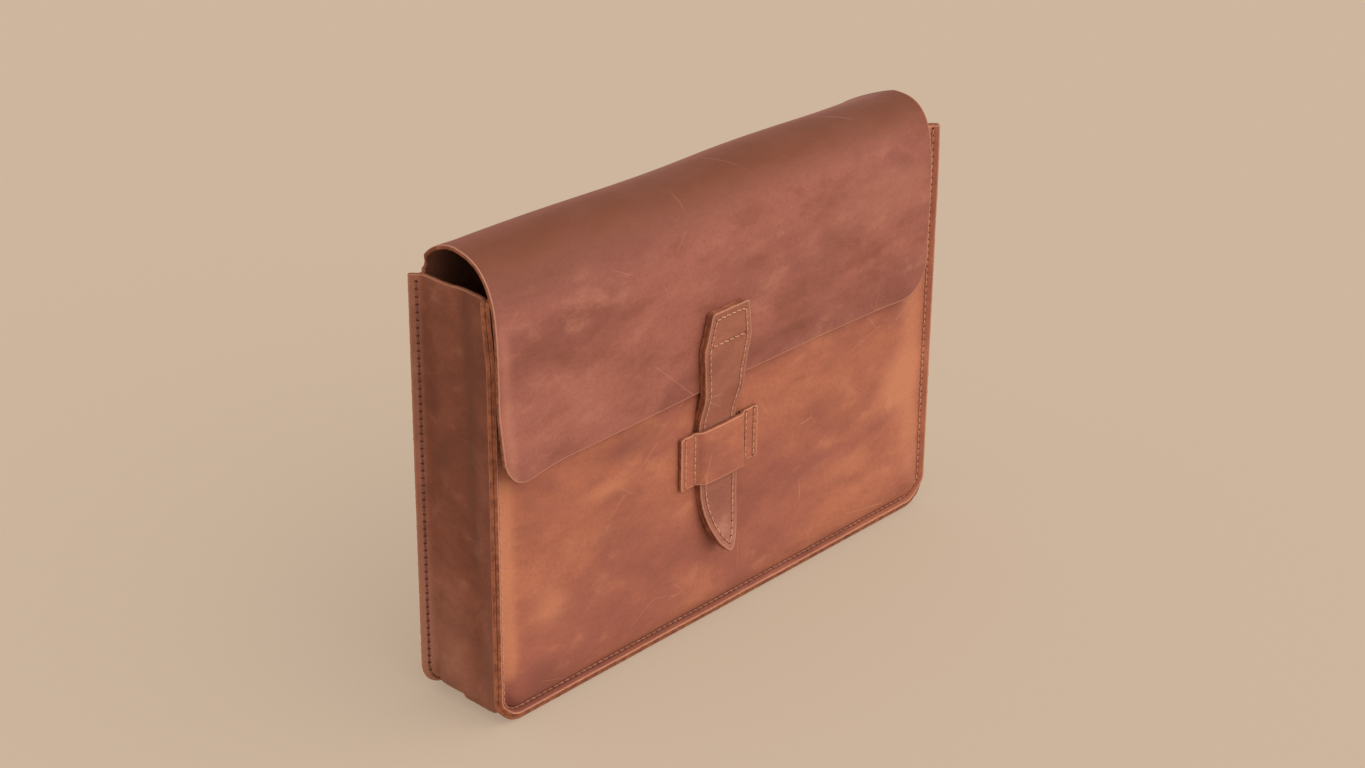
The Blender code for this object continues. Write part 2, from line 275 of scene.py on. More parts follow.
def rounded(corners):
    """An outline through (across, along, radius) corners, each turned at its own radius."""
    line = []
    for number, (across, along, radius) in enumerate(corners):
        here = np.array([across, along])
        if not radius:
            line.append(here)
            continue
        before = np.array(corners[number - 1][:2]) - here
        after = np.array(corners[(number + 1) % len(corners)][:2]) - here
        before, after = before / np.linalg.norm(before), after / np.linalg.norm(after)
        half = math.acos(np.clip(before @ after, -1, 1)) / 2
        reach = radius / math.tan(half)
        middle = (before + after) / np.linalg.norm(before + after)
        centre = here + middle * radius / math.sin(half)
        start, end = here + before * reach - centre, here + after * reach - centre
        sweep = math.pi - 2 * half
        for share in np.linspace(0, 1, 15):
            mix = np.sin((1 - share) * sweep) * start + np.sin(share * sweep) * end
            line.append(centre + mix / math.sin(sweep))
    return np.array(line)


def spaced(line, step, closed=True):
    """Points evenly along a line, as near to this step as comes out even."""
    line = np.asarray(line, float)
    if closed:
        line = np.vstack([line, line[:1]])
    run = np.concatenate([[0], np.cumsum(np.linalg.norm(np.diff(line, axis=0), axis=1))])
    count = max(2, round(run[-1] / step))
    at = np.linspace(0, run[-1], count + (not closed), endpoint=not closed)
    return np.stack([np.interp(at, run, line[:, n]) for n in (0, 1)], -1)


def inward(line):
    """Unit way in from each point of a closed outline that runs anticlockwise."""
    way = np.roll(line, -1, axis=0) - np.roll(line, 1, axis=0)
    way = np.stack([-way[:, 1], way[:, 0]], -1)
    return way / np.linalg.norm(way, axis=1, keepdims=True)


def nearest(points):
    """A finder of the nearest of these flat points."""
    tree = KDTree(len(points))
    for number, point in enumerate(points):
        tree.insert((point[0], point[1], 0), number)
    tree.balance()
    return lambda point: tree.find((point[0], point[1], 0))


def stitch_line(outline, inset):
    """The line that a stitching groover draws inside a cut edge."""
    fine = spaced(outline, 0.25)
    find = nearest(fine)
    line = fine + inward(fine) * inset
    return np.array([point for point in line if find(point)[2] > inset - 0.03])


# Rings of points inside the cut edge: (distance in, how much coarser than the edge)
RINGS = ((0.9, 1), (1.6, 1), (2.5, 1.5), (3.3, 1.5), (4.0, 1.5), (4.8, 1.5), (6.0, 2), (8.0, 3), (11.0, 4))


def cut_out(outline, holes=(), station=0.8, field=3.2):
    """A flat piece cut to an outline and pricked with an awl: points, triangles, and its edge."""
    edge = spaced(outline, station)
    fine = spaced(outline, 0.25)
    way_in = inward(edge)
    to_edge, to_fine = nearest(edge), nearest(fine)
    holes = np.asarray(holes, float).reshape(-1, 2)
    to_hole = nearest(holes) if len(holes) else None
    low, high = edge.min(0), edge.max(0)
    points = list(edge + way_in * ARRIS)
    for inset, coarser in RINGS:
        ring = fine + inward(fine) * inset
        for point in ring[:: max(1, round(station * coarser / 0.25))]:
            if to_fine(point)[2] > inset - 0.05:
                points.append(point)
    for row, along in enumerate(np.arange(low[1], high[1], field * 0.87)):
        for across in np.arange(low[0] + (row % 2) * field / 2, high[0], field):
            point = np.array([across, along])
            _, number, gap = to_edge(point)
            if gap > RINGS[-1][0] + field / 2 and (point - edge[number]) @ way_in[number] > 0:
                points.append(point)
    if to_hole:
        count = len(edge)
        points[count:] = [point for point in points[count:] if to_hole(point)[2] > HOLE_CLEAR]
        for hole in holes:
            points.append(hole)
            for radius, sides in ((HOLE_RADIUS, 6), (2 * HOLE_RADIUS, 9)):
                for number in range(sides):
                    turn = 2 * math.pi * number / sides + radius
                    points.append(hole + radius * np.array([math.cos(turn), math.sin(turn)]))
    flat = [Vector(point) for point in points]
    made = delaunay_2d_cdt(flat, [], [list(range(len(edge)))], 1, 1e-6)
    placed = np.array([tuple(point) for point in made[0]])
    order = {source: number for number, sources in enumerate(made[3]) for source in sources}
    rim = np.array([order[number] for number in range(len(edge))])
    near_edge = np.array([to_fine(point)[2] for point in placed])
    near_hole = np.array([to_hole(point)[2] if to_hole else 9.0 for point in placed])
    return {
        "points": placed,
        "triangles": np.array(made[2]),
        "rim": rim,
        "edge": edge,
        "way_in": way_in,
        "near_edge": near_edge,
        "near_hole": np.minimum(near_hole, 9.0),
    }


def make_piece(name, points, faces, finishes, faces_finish=None, **notes):
    """An object from points in mm. notes are numbers kept on each point for its finish."""
    mesh = bpy.data.meshes.new(name)
    placed = (np.asarray(points) + (0, MID_DEPTH, 0)) * MM
    mesh.from_pydata(placed.tolist(), [], faces)
    for finish in finishes:
        mesh.materials.append(finish)
    if faces_finish is not None:
        mesh.polygons.foreach_set("material_index", faces_finish)
    for note, values in notes.items():
        kept = mesh.attributes.new(note, "FLOAT", "POINT")
        kept.data.foreach_set("value", np.asarray(values, np.float32))
    mesh.shade_smooth()
    mesh.update()
    piece = bpy.data.objects.new(name, mesh)
    bpy.context.scene.collection.objects.link(piece)
    return piece


# A cut edge in section, from the grain down: (distance in, height above the middle)
EDGE_SECTION = (
    (0.11, LEATHER / 2 - 0.10),
    (0.0, LEATHER / 2 - ARRIS),
    (0.0, 0.25),
    (0.0, -0.35),
    (0.0, ARRIS - LEATHER / 2),
    (0.11, 0.10 - LEATHER / 2),
)
GRAIN, FLESH, RAW = 0, 1, 2


def leather_piece(name, flat, place, side, finishes, seed, worn=None):
    """A cut piece given its shape and thickness, with a grain face, a flesh face and raw edges.
    worn says where its grain is paler, above 0, or darker, below: from wear, painted light and painted
    shade."""
    across, along = flat["points"].T
    awled = HOLE_DEPTH * np.exp(-((flat["near_hole"] / HOLE_RADIUS) ** 2))
    grain, _ = surface(place, across, along, side, LEATHER / 2 - awled)
    flesh, _ = surface(place, across, along, side, 0.6 * awled - LEATHER / 2)
    count, around = len(across), len(flat["edge"])
    points, near_edge = [grain, flesh], [flat["near_edge"]] * 2
    near_hole = [flat["near_hole"]] * 2
    draw = np.random.default_rng(seed)
    for inset, height in EDGE_SECTION:
        fibres = 0.05 * draw.standard_normal(around)
        fibres = (fibres + np.roll(fibres, 1)) * (abs(height) < LEATHER / 2 - ARRIS / 2)
        line = flat["edge"] + flat["way_in"] * (inset + fibres)[:, None]
        points.append(surface(place, line[:, 0], line[:, 1], side, np.full(around, height))[0])
        near_edge.append(np.zeros(around))
        near_hole.append(np.full(around, 9.0))
    faces, kinds = [], []
    top = flat["triangles"] if side > 0 else flat["triangles"][:, ::-1]
    faces += top.tolist()
    faces += (top[:, ::-1] + count).tolist()
    kinds += [GRAIN] * len(top) + [FLESH] * len(top)
    rows = [flat["rim"]]
    rows += [2 * count + number * around + np.arange(around) for number in range(len(EDGE_SECTION))]
    rows.append(flat["rim"] + count)
    for number, (upper, lower) in enumerate(zip(rows, rows[1:])):
        strip = np.stack([upper, lower, np.roll(lower, -1), np.roll(upper, -1)], -1)
        faces += (strip if side > 0 else strip[:, ::-1]).tolist()
        kind = GRAIN if number < 2 else FLESH if number > len(EDGE_SECTION) - 1 else RAW
        kinds += [kind] * around
    wear_and_painted_shading = np.zeros(2 * count + len(EDGE_SECTION) * around)
    if worn:
        wear_and_painted_shading[: 2 * count] = np.tile(worn(across, along), 2)
    return make_piece(
        name, np.vstack(points), faces, finishes, kinds, worn=wear_and_painted_shading,
        near_edge=np.concatenate(near_edge), near_hole=np.concatenate(near_hole),
    )


def paint(code):
    """A linear colour from its sRGB hex value."""
    parts = [int(code[n : n + 2], 16) / 255 for n in (1, 3, 5)]
    return (*(p / 12.92 if p <= 0.04045 else ((p + 0.055) / 1.055) ** 2.4 for p in parts), 1.0)


def add(tree, kind, inputs=(), stops=(), **settings):
    """One node: its settings, its inputs by name or number as a value or a link, and a ramp's stops."""
    made = tree.nodes.new("ShaderNode" + kind)
    for name, value in settings.items():
        setattr(made, name, value)
    for name, value in dict(inputs).items():
        if isinstance(value, bpy.types.NodeSocket):
            tree.links.new(value, made.inputs[name])
        else:
            made.inputs[name].default_value = value
    for number, (place, code) in enumerate(stops):
        if number > 1:
            made.color_ramp.elements.new(place)
        made.color_ramp.elements[number].position = place
        made.color_ramp.elements[number].color = paint(code)
    return made


def new_finish(name):
    """A material with an empty node tree and its shader linked to the output."""
    finish = bpy.data.materials.new(name)
    finish.use_nodes = True
    tree = finish.node_tree
    tree.nodes.clear()
    shader = add(tree, "BsdfPrincipled")
    add(tree, "OutputMaterial", {"Surface": shader.outputs[0]})
    return finish, tree, shader


SOFT = {"interpolation_type": "SMOOTHSTEP"}
# Painted shade in the awl holes
AWL_HOLE_SHADE = "#3a1a12"


def dyed(tree, ground, dye, value, low, high, start=0.0, end=1.0):
    """A coat of dye over the ground colour, from its start to its end strength as the value goes
    softly from low to high."""
    taken = add(tree, "MapRange", {"Value": value, 1: low, 2: high, 3: start, 4: end}, **SOFT)
    return add(tree, "Mix", {0: taken.outputs[0], 6: ground, 7: paint(dye)}, data_type="RGBA").outputs[2]


def waxed_grain(name, deep, body, pulled, paler_tone, edge_light):
    """Waxed pull-up cowhide, grain side: oils leave it matt and cloudy, lighter where it is bent or
    scuffed, with fine pores, hair-fine scratches and a pale line on every cut corner. Its worn
    attribute adds painted light and painted shade, and its awl holes are darkened with painted shade."""
    finish, tree, shader = new_finish(name)
    place = add(tree, "TexCoord").outputs["Object"]
    # Clouds of oil about 70 mm across, drawn out sideways, and smaller ones of about 18 mm
    wide = add(tree, "Mapping", {"Vector": place, "Rotation": (0, -0.35, 0), "Scale": (0.6, 1.0, 1.2)})
    wide = wide.outputs[0]
    cloud = add(tree, "TexNoise", {"Vector": wide, "Scale": 15.0, "Detail": 4.0, "Distortion": 0.8})
    patch = add(tree, "TexNoise", {"Vector": wide, "Scale": 55.0, "Detail": 6.0, "Roughness": 0.6})
    fine = add(tree, "TexNoise", {"Vector": place, "Scale": 420.0, "Detail": 4.0, "Roughness": 0.7})
    colour = dyed(tree, paint(body), pulled, cloud.outputs[0], 0.38, 0.66)
    colour = dyed(tree, colour, deep, cloud.outputs[0], 0.48, 0.30, 0.0, 0.35)
    colour = dyed(tree, colour, deep, patch.outputs[0], 0.52, 0.32, 0.0, 0.34)
    colour = dyed(tree, colour, paler_tone, patch.outputs[0], 0.52, 0.74, 0.0, 0.60)
    colour = dyed(tree, colour, deep, fine.outputs[0], 0.60, 0.36, 0.0, 0.16)
    # worn per point: paler or darker, from wear and from painted light and shade
    wear_and_painted_shading = add(tree, "Attribute", attribute_name="worn").outputs["Fac"]
    broken = add(tree, "Math", {0: patch.outputs[0], 1: 0.9, 2: 0.55}, operation="MULTIPLY_ADD")
    wear_and_painted_shading = add(tree, "Math", {0: wear_and_painted_shading, 1: broken.outputs[0]}, operation="MULTIPLY").outputs[0]
    colour = dyed(tree, colour, paler_tone, wear_and_painted_shading, 0.0, 1.0)
    colour = dyed(tree, colour, deep, wear_and_painted_shading, 0.0, -1.0)
    # Scratches: short lengths of long straight hairlines, about 0.4 mm wide
    marks = []
    for size, seed in ((13.0, 1.3), (19.0, 4.1)):
        laid = add(tree, "Mapping", {"Vector": place, "Location": (seed, seed, seed)}).outputs[0]
        lines = add(tree, "TexVoronoi", {"Vector": laid, "Scale": size}, feature="DISTANCE_TO_EDGE")
        parts = add(tree, "TexNoise", {"Vector": laid, "Scale": 24.0, "Detail": 1.0})
        line = add(tree, "MapRange", {"Value": lines.outputs[0], 1: 0.0045, 2: 0.0015}, **SOFT)
        kept = add(tree, "MapRange", {"Value": parts.outputs[0], 1: 0.62, 2: 0.68}, **SOFT)
        marks.append(add(tree, "Math", {0: line.outputs[0], 1: kept.outputs[0]}, operation="MULTIPLY"))
    mark = add(tree, "Math", {0: marks[0].outputs[0], 1: marks[1].outputs[0]}, operation="MAXIMUM")
    mark = add(tree, "Math", {0: mark.outputs[0], 1: 0.38}, operation="MULTIPLY").outputs[0]
    colour = add(tree, "Mix", {0: mark, 6: colour, 7: paint(edge_light)}, data_type="RGBA").outputs[2]
    # Follicles about 0.8 mm apart: real ones are half that
    pores = add(tree, "TexVoronoi", {"Vector": place, "Scale": 1250.0, "Randomness": 1.0})
    pore = add(tree, "MapRange", {"Value": pores.outputs["Distance"], 1: 0.10, 2: 0.42}, **SOFT).outputs[0]
    colour = dyed(tree, colour, deep, pore, 0.0, 1.0, 0.20, 0.0)
    edge = add(tree, "Attribute", attribute_name="near_edge").outputs["Fac"]
    colour = dyed(tree, colour, edge_light, edge, 1.1, 0.3, 0.0, 0.7)
    # Painted shade in and around the awl holes
    hole = add(tree, "Attribute", attribute_name="near_hole").outputs["Fac"]
    colour = dyed(tree, colour, AWL_HOLE_SHADE, hole, 1.05, 0.50, 0.0, 0.9)
    tree.links.new(colour, shader.inputs["Base Color"])
    rough = add(tree, "MapRange", {"Value": cloud.outputs[0], 1: 0.3, 2: 0.7, 3: 0.56, 4: 0.70}, **SOFT)
    tree.links.new(rough.outputs[0], shader.inputs["Roughness"])
    shader.inputs["Specular IOR Level"].default_value = 0.22
    height = add(tree, "Math", {0: pore, 1: 0.35, 2: fine.outputs[0]}, operation="MULTIPLY_ADD")
    bump = add(tree, "Bump", {"Strength": 0.7, "Distance": 0.0004, "Height": height.outputs[0]})
    tree.links.new(bump.outputs[0], shader.inputs["Normal"])
    return finish


def flesh_side(name, nap, worn):
    """The flesh side of the hide: a short even nap, dull and a little paler where it is scuffed, with
    painted shade at its awl holes.
    """
    finish, tree, shader = new_finish(name)
    place = add(tree, "TexCoord").outputs["Object"]
    cloud = add(tree, "TexNoise", {"Vector": place, "Scale": 45.0, "Detail": 4.0})
    fibre = add(tree, "TexNoise", {"Vector": place, "Scale": 900.0, "Detail": 4.0, "Roughness": 0.7})
    colour = dyed(tree, paint(nap), worn, cloud.outputs[0], 0.35, 0.65)
    colour = dyed(tree, colour, "#4a2415", fibre.outputs[0], 0.62, 0.40, 0.0, 0.35)
    # Painted shade in and around the awl holes
    hole = add(tree, "Attribute", attribute_name="near_hole").outputs["Fac"]
    colour = dyed(tree, colour, AWL_HOLE_SHADE, hole, 1.0, 0.45, 0.0, 0.8)
    tree.links.new(colour, shader.inputs["Base Color"])
    shader.inputs["Roughness"].default_value = 0.92
    bump = add(tree, "Bump", {"Strength": 0.6, "Distance": 0.0003, "Height": fibre.outputs[0]})
    tree.links.new(bump.outputs[0], shader.inputs["Normal"])
    return finish


def raw_edge(name, fibre_light, fibre_dark):
    """A knife-cut edge left raw: layered orange-brown fibres, dry and slightly fuzzy."""
    finish, tree, shader = new_finish(name)
    place = add(tree, "TexCoord").outputs["Object"]
    clumps = add(tree, "TexNoise", {"Vector": place, "Scale": 260.0, "Detail": 3.0})
    fibre = add(tree, "TexNoise", {"Vector": place, "Scale": 2200.0, "Detail": 3.0, "Roughness": 0.7})
    share = add(tree, "Math", {0: clumps.outputs[0], 1: fibre.outputs[0]}, operation="ADD")
    colour = dyed(tree, paint(fibre_dark), fibre_light, share.outputs[0], 0.80, 1.20)
    tree.links.new(colour, shader.inputs["Base Color"])
    shader.inputs["Roughness"].default_value = 0.85
    bump = add(tree, "Bump", {"Strength": 0.7, "Distance": 0.0003, "Height": fibre.outputs[0]})
    tree.links.new(bump.outputs[0], shader.inputs["Normal"])
    return finish


flap_grain = waxed_grain("pull_up_leather_flap", "#743f29", "#965a4e", "#a66556", "#b87964", "#c58e74")
nap = flesh_side("leather_flesh_side", "#7d4a33", "#93593d")
cut_edge = raw_edge("leather_raw_edge", "#a8623f", "#7a3f28")

flap_sides = np.linspace(ROOT + 2.0, LENGTH_TO_EDGE - 30, 60)


def flap_outline(length):
    """The flap's two side edges, this far along: narrow at the root, full width in front."""
    spread = 0.3 * smooth((length - ROOT) / 7)
    spread = spread + 0.7 * smooth((length - ROOT) / (LENGTH_TO_FULL - ROOT - 14))
    left = -HALF_WIDTH + NOTCH_LEFT
    right = HALF_WIDTH - NOTCH_RIGHT
    return left + (FLAP_LEFT - left) * spread, right + (FLAP_RIGHT - right) * spread


left_edge, right_edge = flap_outline(flap_sides)
back_and_flap_outline = rounded(
    [(-HALF_WIDTH, 0, CORNER), (HALF_WIDTH, 0, CORNER), (HALF_WIDTH, ROOT - 0.8, 1.0)]
    + [(right_edge[0], ROOT - 0.4, 1.5)]
    + [(x, length, 0) for x, length in zip(right_edge[2:], flap_sides[2:])]
    + [(FLAP_RIGHT, LENGTH_TO_EDGE, FLAP_RIGHT_RADIUS), (-8, LENGTH_TO_EDGE - 1.2, 60)]
    + [(FLAP_LEFT, LENGTH_TO_EDGE + 1, FLAP_LEFT_RADIUS)]
    + [(x, length, 0) for x, length in zip(left_edge[:1:-1], flap_sides[:1:-1])]
    + [(left_edge[0], ROOT - 0.4, 1.5), (-HALF_WIDTH, ROOT - 0.8, 1.0)]
)

GUSSET_TOP = 240.3  # as cut, and so is the front
SEAM_SIDE = GUSSET_TOP - CORNER
SEAM_TURN = (CORNER - STITCH_INSET) * math.pi / 2
SEAM_BASE = 2 * (HALF_WIDTH - CORNER)
SEAM_LENGTH = 2 * (SEAM_SIDE + SEAM_TURN) + SEAM_BASE
SEAM_END = 4.0  # first and last stitch from the gusset's ends


def along_seam(length, inset):
    """Across and up, this far along the stitch line from the top left and this far in."""
    from_middle = np.abs(length - SEAM_LENGTH / 2)
    turn = np.clip((from_middle - SEAM_BASE / 2) / (CORNER - STITCH_INSET), 0, math.pi / 2)
    x = np.minimum(from_middle, SEAM_BASE / 2) + (CORNER - inset) * np.sin(turn)
    climb = np.maximum(from_middle - SEAM_BASE / 2 - SEAM_TURN, 0)
    return np.sign(length - SEAM_LENGTH / 2) * x, CORNER - (CORNER - inset) * np.cos(turn) + climb


stitch_count = round((SEAM_LENGTH - 2 * SEAM_END) / STITCH_PITCH)
seam_places = np.linspace(SEAM_END, SEAM_LENGTH - SEAM_END, stitch_count + 1)
seam_holes = np.stack(along_seam(seam_places, STITCH_INSET), -1)


def flap_wear_and_painted_shade(x, length):
    """Darker over the crown, as painted shade on its upward-facing top, and paler along the fold's sides.
    """
    crown = (ROOT + LENGTH_TO_FULL) / 2
    paler_tone = 0.6 * swell(x, 120, 42) * swell(length, LENGTH_TO_FULL - 14, 20)
    paler_tone = paler_tone + 0.35 * swell(x, -120, 34) * swell(length, LENGTH_TO_FULL + 34, 18)
    paler_tone = paler_tone + 0.5 * swell(x, -172, 5) * smooth((length - crown) / 40)
    # The darkening over the crown's top is painted shade
    return paler_tone - 0.9 * swell(length, crown - 8, 26)


back_and_flap = leather_piece(
    "back_panel_and_flap",
    cut_out(back_and_flap_outline, seam_holes, station=1.0, field=4.0),
    back_and_flap_at, -1, (flap_grain, nap, cut_edge), 11, flap_wear_and_painted_shade,
)
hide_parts("back_panel", "flap")
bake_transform(back_and_flap)

# ---------------------------------------------------------------------------------------
# The gusset is one long strip of the same hide, dyed a little darker. It runs down one side,
# under the base and up the other, with both its edges turned outwards behind the panels.
# ---------------------------------------------------------------------------------------

FLANGE = 4.8  # flat width of each turned edge
BEND = 5.5  # radius where the wall turns out
FRONT_SPLAY, BASE_MORE = 0.68, 0.52  # the front seam's angle, and how much more along the base
FRONT_PRESSED = (3.2, 2.2, 0.4)  # by the flap: left end, middle, right end
WALL_OUT, WALL_IN = 1.6, 0.9  # the wall's soft fold
CORNER_PINCH = 2.8
LAYER = LEATHER + 0.1  # from one layer's middle to the next
GUSSET_WIDTH = 60.2
RIGHT_SHORT = 1.9  # gusset and front are cut a little short at the top right
LEFT_CORNER = SEAM_SIDE + SEAM_TURN / 2  # along the strip, to the middle of each corner
RIGHT_CORNER = SEAM_LENGTH - LEFT_CORNER


def front_tilt(x, z):
    """The front's seam is splayed forwards: by about 40 degrees, and 70 along the base."""
    splay = FRONT_SPLAY + BASE_MORE * smooth((17 - z) / 13)
    return splay + SPLAY_UNEVEN * ripple(x, z, 80.0, 9)


def pressed_in(x, z):
    """How far the flap presses in the top of the front."""
    return across_flap(x, FRONT_PRESSED) * smooth((z - 200) / 40)


def gusset_at(length, across):
    """Middle of the strip, this far along the seams and this far across from the front edge."""
    half = np.minimum(across, GUSSET_WIDTH - across)
    fore = across < GUSSET_WIDTH / 2
    x, z = along_seam(length, 0.0)
    tilt = np.where(fore, front_tilt(x, z), back_tilt(x, z))
    drawn, out = splayed(0.0, tilt)
    turn = np.clip((half - FLANGE) / BEND, 0, math.pi / 2 - tilt)
    bent = FLANGE + BEND * (math.pi / 2 - tilt)
    straight = np.minimum(half, FLANGE)
    inset = drawn - LAYER * np.sin(tilt) + straight * np.cos(tilt)
    inset = inset + BEND * (np.sin(tilt + turn) - np.sin(tilt))
    edge = HALF_DEPTH - LEATHER / 2 + out - sunk_by(tilt) - LAYER * np.cos(tilt)
    edge = edge - fore * pressed_in(x, z)
    deep = edge - straight * np.sin(tilt) - BEND * (np.cos(tilt) - np.cos(tilt + turn))
    wall = np.maximum(half - bent, 0)
    deep = deep * (1 - wall / (GUSSET_WIDTH / 2 - bent))
    deep = deep - drawn_in(half)
    depth = np.where(fore, -deep, deep)
    corner = swell(length, LEFT_CORNER, 14) + swell(length, RIGHT_CORNER, 14)
    soft = smooth(wall / (10 - 6 * corner))
    bowed = WALL_OUT * swell(depth, -6, 8) - WALL_IN * swell(depth, 10, 8)
    bowed = bowed + 0.4 * ripple(length, depth, 80.0, 21)
    from_top = np.minimum(length, SEAM_LENGTH - length)
    bowed = bowed * (0.3 + 0.7 * smooth(from_top / 70)) * (1 - 0.9 * corner)
    inset = inset + soft * (bowed - CORNER_PINCH * corner)
    x, z = along_seam(length, inset)
    lift = FRONT_LIFT + (BACK_LIFT - FRONT_LIFT) * smooth(across / GUSSET_WIDTH)
    return np.stack([x, depth, resting(z, lift)], -1)


def gusset_wear_and_painted_light(length, across):
    """Paler along both turned edges, paler low down as painted light, and a dark band of painted shade
    where the wall folds in.
    """
    half = np.minimum(across, GUSSET_WIDTH - across)
    low = smooth((np.minimum(length, SEAM_LENGTH - length) - 120) / 100)
    fold = swell(across, GUSSET_WIDTH * 0.36, 7) * (1 - 0.5 * low)
    # Painted light low down, and painted shade in the wall's fold
    return 0.55 * (1 - smooth((half - 3) / 7)) + 0.45 * low - 0.5 * fold


gusset_outline = rounded([
    (0, 0, 0.6), (SEAM_LENGTH - RIGHT_SHORT, 0, 0.6),
    (SEAM_LENGTH, GUSSET_WIDTH, 0.6), (0, GUSSET_WIDTH, 0.6),
])
gusset_lines = (STITCH_INSET, GUSSET_WIDTH - STITCH_INSET)
gusset_holes = [(place, line) for place in seam_places for line in gusset_lines]
gusset_grain = waxed_grain("pull_up_leather_gusset", "#633a2a", "#874c37", "#975a45", "#aa735d", "#b87c60")
gusset = leather_piece(
    "gusset_leather",
    cut_out(gusset_outline, gusset_holes, station=1.0, field=2.6),
    gusset_at, -1, (gusset_grain, nap, cut_edge), 12, gusset_wear_and_painted_light,
)
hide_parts("gusset_strip")
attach(gusset, "sleeve")

# ---------------------------------------------------------------------------------------
# The front panel is the same hide as the back, cut to the same corners. It is filled out by
# what the sleeve holds, so it is drawn in along its stitches and swells just inside them.
# ---------------------------------------------------------------------------------------

# Worn and oily patches, with a painted shadow under the flap's edge at (-86, 131): across, up, half width,
# half height, and how much paler or darker
FRONT_PATCHES = (
    (145, 88, 20, 17, 1.0), (-140, 60, 16, 13, 0.6), (-98, 112, 22, 6, 0.6), (96, 52, 26, 9, 0.4),
    (-86, 131, 30, 9, -0.6), (-150, 22, 18, 12, -0.5), (-95, 78, 26, 14, -0.4), (70, 96, 22, 12, -0.4),
)


def front_swell(x, z):
    """How far the front panel stands proud of its seams, with a hollow where the tab presses."""
    inset = from_edge(x, z)
    proud = 0.6 + 2.6 * (1 - smooth((z - 18) / 66))
    pressed = 3.2 * smooth((21 - np.abs(x + 14)) / 7) * swell(z, 111, 26)
    return proud * smooth((inset - STITCH_INSET) / 9) - pressed


def front_panel_at(x, z):
    """Middle of the front panel's leather."""
    across, up, stand = panel_seam(x, z, front_tilt(x, z), 16 + 16 * smooth((z - 10) / 40), FRONT_LIFT)
    stand = stand + front_swell(x, z) - pressed_in(x, z)
    stand = stand + 0.35 * ripple(x, z, 110.0, 31) * smooth((from_edge(x, z) - 5) / 30)
    return np.stack([across, LEATHER / 2 - HALF_DEPTH - stand, up], -1)


def front_wear_and_painted_shade(x, z):
    """Paler down both sides and where hands pull; painted shade darkens the crease over the base seam, and
    it is darker towards the lower left.
    """
    inset = from_edge(x, z)
    pale = 0.9 * swell(x, -168, 6) * smooth((z - 12) / 20)
    pale = pale + 0.55 * swell(x, 160, 16) * smooth((z - 10) / 30)
    for place, up, wide, high, much in FRONT_PATCHES:
        pale = pale + much * swell(x, place, wide) * swell(z, up, high)
    # Painted shade in the crease above the base seam's stitches, and darker towards the lower left
    crease = 1.3 * swell(inset, 7.0, 3.4) * smooth((26 - z) / 16)
    crease = crease + 0.2 * smooth((50 - z) / 50) * smooth((60 - x) / 120)
    return pale - crease


front_outline = rounded([
    (-HALF_WIDTH, 0, CORNER), (HALF_WIDTH, 0, CORNER),
    (HALF_WIDTH, GUSSET_TOP - RIGHT_SHORT, 0.6), (-HALF_WIDTH, GUSSET_TOP, 0.6),
])
front_grain = waxed_grain("pull_up_leather_front", "#834b3f", "#a3604e", "#b56f53", "#c5805f", "#cc9173")
front_panel = leather_piece(
    "front_panel_leather",
    cut_out(front_outline, seam_holes, station=1.0, field=4.0),
    front_panel_at, 1, (front_grain, nap, cut_edge), 13, front_wear_and_painted_shade,
)
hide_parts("front_panel")
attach(front_panel, "sleeve")

# ---------------------------------------------------------------------------------------
# Both seams are saddle-stitched by hand in waxed linen thread through awl holes 4.2 mm
# apart. Each stitch slants a little, stands proud between its holes and dives into them.
# ---------------------------------------------------------------------------------------

THREAD_RADIUS = 0.42
STITCH_SLANT = 0.5  # across each stitch, one end to the other
STITCH_RISE = 0.30  # middle of the thread above the leather
STITCH_DIP = 0.55  # its ends below the leather's face
THREAD_TWIST = 0.8  # the real plies turn every 0.5 mm, too fine to show


def waxed_thread(name, dark, light):
    """Waxed linen thread: slightly glossy, with its plies showing as a fine twist, and darkened
    with painted shade where it goes down into its holes."""
    finish, tree, shader = new_finish(name)
    place = add(tree, "TexCoord").outputs["Object"]
    cloud = add(tree, "TexNoise", {"Vector": place, "Scale": 120.0, "Detail": 2.0})
    colour = dyed(tree, paint(dark), light, cloud.outputs[0], 0.35, 0.65)
    plies = add(tree, "Attribute", attribute_name="twist").outputs["Fac"]
    wave = add(tree, "Math", {0: plies}, operation="SINE").outputs[0]
    colour = dyed(tree, colour, "#7d4a3b", wave, 0.0, -1.0, 0.0, 0.45)
    # Painted shade where the thread goes down into its holes
    sunk = add(tree, "Attribute", attribute_name="sunk").outputs["Fac"]
    colour = dyed(tree, colour, "#5a2e20", sunk, 0.35, 1.0, 0.0, 0.8)
    tree.links.new(colour, shader.inputs["Base Color"])
    shader.inputs["Roughness"].default_value = 0.6
    bump = add(tree, "Bump", {"Strength": 0.5, "Distance": 0.0002, "Height": wave})
    tree.links.new(bump.outputs[0], shader.inputs["Normal"])
    return finish


thread_tan = waxed_thread("waxed_linen_thread_tan", "#c98a6c", "#dba182")
# A darker copy of the same thread, for the reverse rows on the gusset
thread_darker = waxed_thread("waxed_linen_thread_soiled", "#7a4233", "#8f5644")


